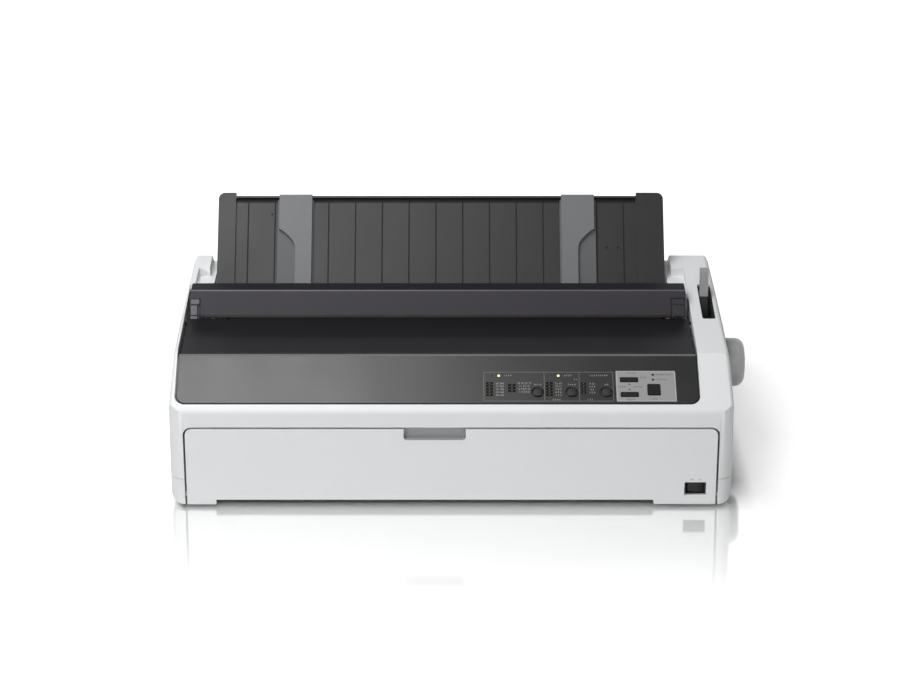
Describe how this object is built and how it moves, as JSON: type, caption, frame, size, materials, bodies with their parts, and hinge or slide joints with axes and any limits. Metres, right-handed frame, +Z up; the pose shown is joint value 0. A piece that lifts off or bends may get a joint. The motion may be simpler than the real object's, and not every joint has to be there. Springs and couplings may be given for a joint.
{
  "type": "dot matrix printer",
  "caption": "Wide-carriage impact printer with tilting covers, a leaning sheet guide, platen knob, release lever, key panel and rear tractors.",
  "frame": {"origin": "middle of the footprint, knob included, on the surface the feet stand on", "axes": "+X to the right as seen from the front, towards the knob; +Y to the back; +Z up"},
  "size_m": [0.639, 0.402, 0.259],
  "materials": {
    "case_white": "fine textured",
    "panel_dark": "satin",
    "cover_smoke": "glossy",
    "ridge_slate": "satin",
    "guide_charcoal": "fine textured",
    "edge_guide_grey": "satin",
    "knob_grey": "satin",
    "plate_silver": "metallic print",
    "key_grey": "satin",
    "lamp_green": "clear",
    "black_plastic": "matt",
    "feet_rubber": "matt",
    "platen_rubber": "ground",
    "zinc_steel": "zinc plated",
    "bright_steel": "ground",
    "gear_nylon": "natural",
    "pinion_brass": "turned",
    "board_green": "solder mask",
    "motor_black": "satin",
    "head_alloy": "die cast",
    "belt_rubber": "matt"
  },
  "bodies": {
    "chassis": {"lower_case": "case_white", "upper_case": "case_white", "feet": "feet_rubber", "case_screws": "zinc_steel", "lever_bezel": "black_plastic", "fascia": "panel_dark", "panel_inlay": "black_plastic", "panel_plate": "plate_silver", "status_leds": "lamp_green", "panel_board": "board_green", "side_frame_left": "zinc_steel", "side_frame_right": "zinc_steel", "base_frame": "zinc_steel", "carriage_rods": "bright_steel", "tractor_rail": "bright_steel", "paper_guide": "black_plastic", "rear_guide": "black_plastic", "carriage_motor": "motor_black", "idler_bracket": "zinc_steel", "timing_belt": "belt_rubber", "ribbon_cartridge": "black_plastic", "feed_motor": "motor_black", "main_board": "board_green", "power_supply": "zinc_steel", "ac_inlet": "black_plastic", "data_connectors": "zinc_steel", "switch_body": "black_plastic"},
    "front_cover": {"front_cover": "case_white"},
    "printer_cover": {"printer_cover": "cover_smoke"},
    "tension_unit": {"tension_frame": "ridge_slate", "tension_tabs": "ridge_slate", "tension_rollers": "feet_rubber", "tear_off_blade": "bright_steel"},
    "sheet_guide": {"sheet_guide": "guide_charcoal"},
    "edge_guide_left": {"edge_guide_left": "edge_guide_grey"},
    "edge_guide_right": {"edge_guide_right": "edge_guide_grey"},
    "platen": {"platen": "platen_rubber", "platen_shaft": "bright_steel", "platen_knob": "knob_grey", "platen_gear": "gear_nylon"},
    "feed_idler": {"feed_idler": "gear_nylon"},
    "tractor_idler_front": {"tractor_idler_front": "gear_nylon"},
    "tractor_idler_rear": {"tractor_idler_rear": "gear_nylon"},
    "motor_pinion": {"motor_pinion": "pinion_brass"},
    "tractor_drive": {"tractor_shaft": "bright_steel", "tractor_gear": "gear_nylon"},
    "release_lever": {"release_lever": "knob_grey"},
    "carriage": {"carriage": "black_plastic", "print_head": "head_alloy"},
    "drive_pulley": {"drive_pulley": "head_alloy"},
    "idler_pulley": {"idler_pulley": "head_alloy"},
    "power_rocker": {"power_rocker": "black_plastic"},
    "tractor_left": {"tractor_left": "black_plastic"},
    "tractor_right": {"tractor_right": "black_plastic"},
    "key_round_left": {"key_round_left": "key_grey"},
    "key_round_middle": {"key_round_middle": "key_grey"},
    "key_round_right": {"key_round_right": "key_grey"},
    "key_bar_upper": {"key_bar_upper": "key_grey"},
    "key_bar_lower": {"key_bar_lower": "key_grey"},
    "key_square": {"key_square": "key_grey"}
  },
  "joints": [
    {"name": "front_cover_hinge", "type": "hinge", "parent": "chassis", "child": "front_cover", "pos_m": [0, -0.193, 0.013], "axis": [1, 0, 0], "range_deg": [0, 85]},
    {"name": "printer_cover_hinge", "type": "hinge", "parent": "chassis", "child": "printer_cover", "pos_m": [0, -0.0515, 0.1575], "axis": [-1, 0, 0], "range_deg": [0, 95]},
    {"name": "tension_unit_lift", "type": "slide", "parent": "chassis", "child": "tension_unit", "axis": [0, 0, 1], "range_m": [0, 0.04]},
    {"name": "sheet_guide_hinge", "type": "hinge", "parent": "chassis", "child": "sheet_guide", "pos_m": [0, 0.029, 0.154], "axis": [-1, 0, 0], "range_deg": [0, 44]},
    {"name": "edge_guide_left_slide", "type": "slide", "parent": "sheet_guide", "child": "edge_guide_left", "axis": [1, 0, 0], "range_m": [-0.044, 0.15]},
    {"name": "edge_guide_right_slide", "type": "slide", "parent": "sheet_guide", "child": "edge_guide_right", "axis": [1, 0, 0], "range_m": [-0.13, 0.044]},
    {"name": "platen_spin", "type": "hinge", "parent": "chassis", "child": "platen", "pos_m": [0, -0.021, 0.098], "axis": [1, 0, 0], "continuous": true},
    {"name": "feed_idler_spin", "type": "hinge", "parent": "chassis", "child": "feed_idler", "pos_m": [0, -0.043, 0.07078], "axis": [1, 0, 0], "continuous": true},
    {"name": "tractor_idler_front_spin", "type": "hinge", "parent": "chassis", "child": "tractor_idler_front", "pos_m": [0, 0.02356, 0.10426], "axis": [1, 0, 0], "continuous": true},
    {"name": "tractor_idler_rear_spin", "type": "hinge", "parent": "chassis", "child": "tractor_idler_rear", "pos_m": [0, 0.0735, 0.10184], "axis": [1, 0, 0], "continuous": true},
    {"name": "motor_pinion_spin", "type": "hinge", "parent": "chassis", "child": "motor_pinion", "pos_m": [0, -0.05801, 0.05609], "axis": [1, 0, 0], "continuous": true},
    {"name": "tractor_drive_spin", "type": "hinge", "parent": "chassis", "child": "tractor_drive", "pos_m": [0, 0.111, 0.108], "axis": [1, 0, 0], "continuous": true},
    {"name": "release_lever_hinge", "type": "hinge", "parent": "chassis", "child": "release_lever", "pos_m": [0.2726, -0.019, 0.124], "axis": [1, 0, 0], "range_deg": [-17, 38]},
    {"name": "carriage_slide", "type": "slide", "parent": "chassis", "child": "carriage", "axis": [1, 0, 0], "range_m": [-0.17, 0.17]},
    {"name": "drive_pulley_spin", "type": "hinge", "parent": "chassis", "child": "drive_pulley", "pos_m": [-0.248, -0.097, 0.07], "axis": [0, 0, 1], "continuous": true},
    {"name": "idler_pulley_spin", "type": "hinge", "parent": "chassis", "child": "idler_pulley", "pos_m": [0.208, -0.097, 0.07], "axis": [0, 0, 1], "continuous": true},
    {"name": "power_rocker_hinge", "type": "hinge", "parent": "chassis", "child": "power_rocker", "pos_m": [0.252, -0.188, 0.0224], "axis": [0, 0, -1], "range_deg": [0, 10]},
    {"name": "key_round_left_press", "type": "slide", "parent": "chassis", "child": "key_round_left", "axis": [0, 0.515, -0.8572], "range_m": [0, 0.001], "stiffness_N_per_m": 300},
    {"name": "key_round_middle_press", "type": "slide", "parent": "chassis", "child": "key_round_middle", "axis": [0, 0.515, -0.8572], "range_m": [0, 0.001], "stiffness_N_per_m": 300},
    {"name": "key_round_right_press", "type": "slide", "parent": "chassis", "child": "key_round_right", "axis": [0, 0.515, -0.8572], "range_m": [0, 0.001], "stiffness_N_per_m": 300},
    {"name": "key_bar_upper_press", "type": "slide", "parent": "chassis", "child": "key_bar_upper", "axis": [0, 0.515, -0.8572], "range_m": [0, 0.001], "stiffness_N_per_m": 300},
    {"name": "key_bar_lower_press", "type": "slide", "parent": "chassis", "child": "key_bar_lower", "axis": [0, 0.515, -0.8572], "range_m": [0, 0.001], "stiffness_N_per_m": 300},
    {"name": "key_square_press", "type": "slide", "parent": "chassis", "child": "key_square", "axis": [0, 0.515, -0.8572], "range_m": [0, 0.001], "stiffness_N_per_m": 300},
    {"name": "tractor_left_slide", "type": "slide", "parent": "chassis", "child": "tractor_left", "axis": [1, 0, 0], "range_m": [-0.06, 0.12]},
    {"name": "tractor_right_slide", "type": "slide", "parent": "chassis", "child": "tractor_right", "axis": [1, 0, 0], "range_m": [-0.12, 0.075]}
  ],
  "couplings": [
    {"joint": "feed_idler_spin", "follows": "platen_spin", "ratio": -1.3333},
    {"joint": "motor_pinion_spin", "follows": "platen_spin", "ratio": 3.3333},
    {"joint": "tractor_idler_front_spin", "follows": "platen_spin", "ratio": -0.8},
    {"joint": "tractor_idler_rear_spin", "follows": "platen_spin", "ratio": 0.8},
    {"joint": "tractor_drive_spin", "follows": "platen_spin", "ratio": -1.5385},
    {"joint": "drive_pulley_spin", "follows": "carriage_slide", "rad_per_m": 117.65},
    {"joint": "idler_pulley_spin", "follows": "carriage_slide", "rad_per_m": 117.65}
  ]
}
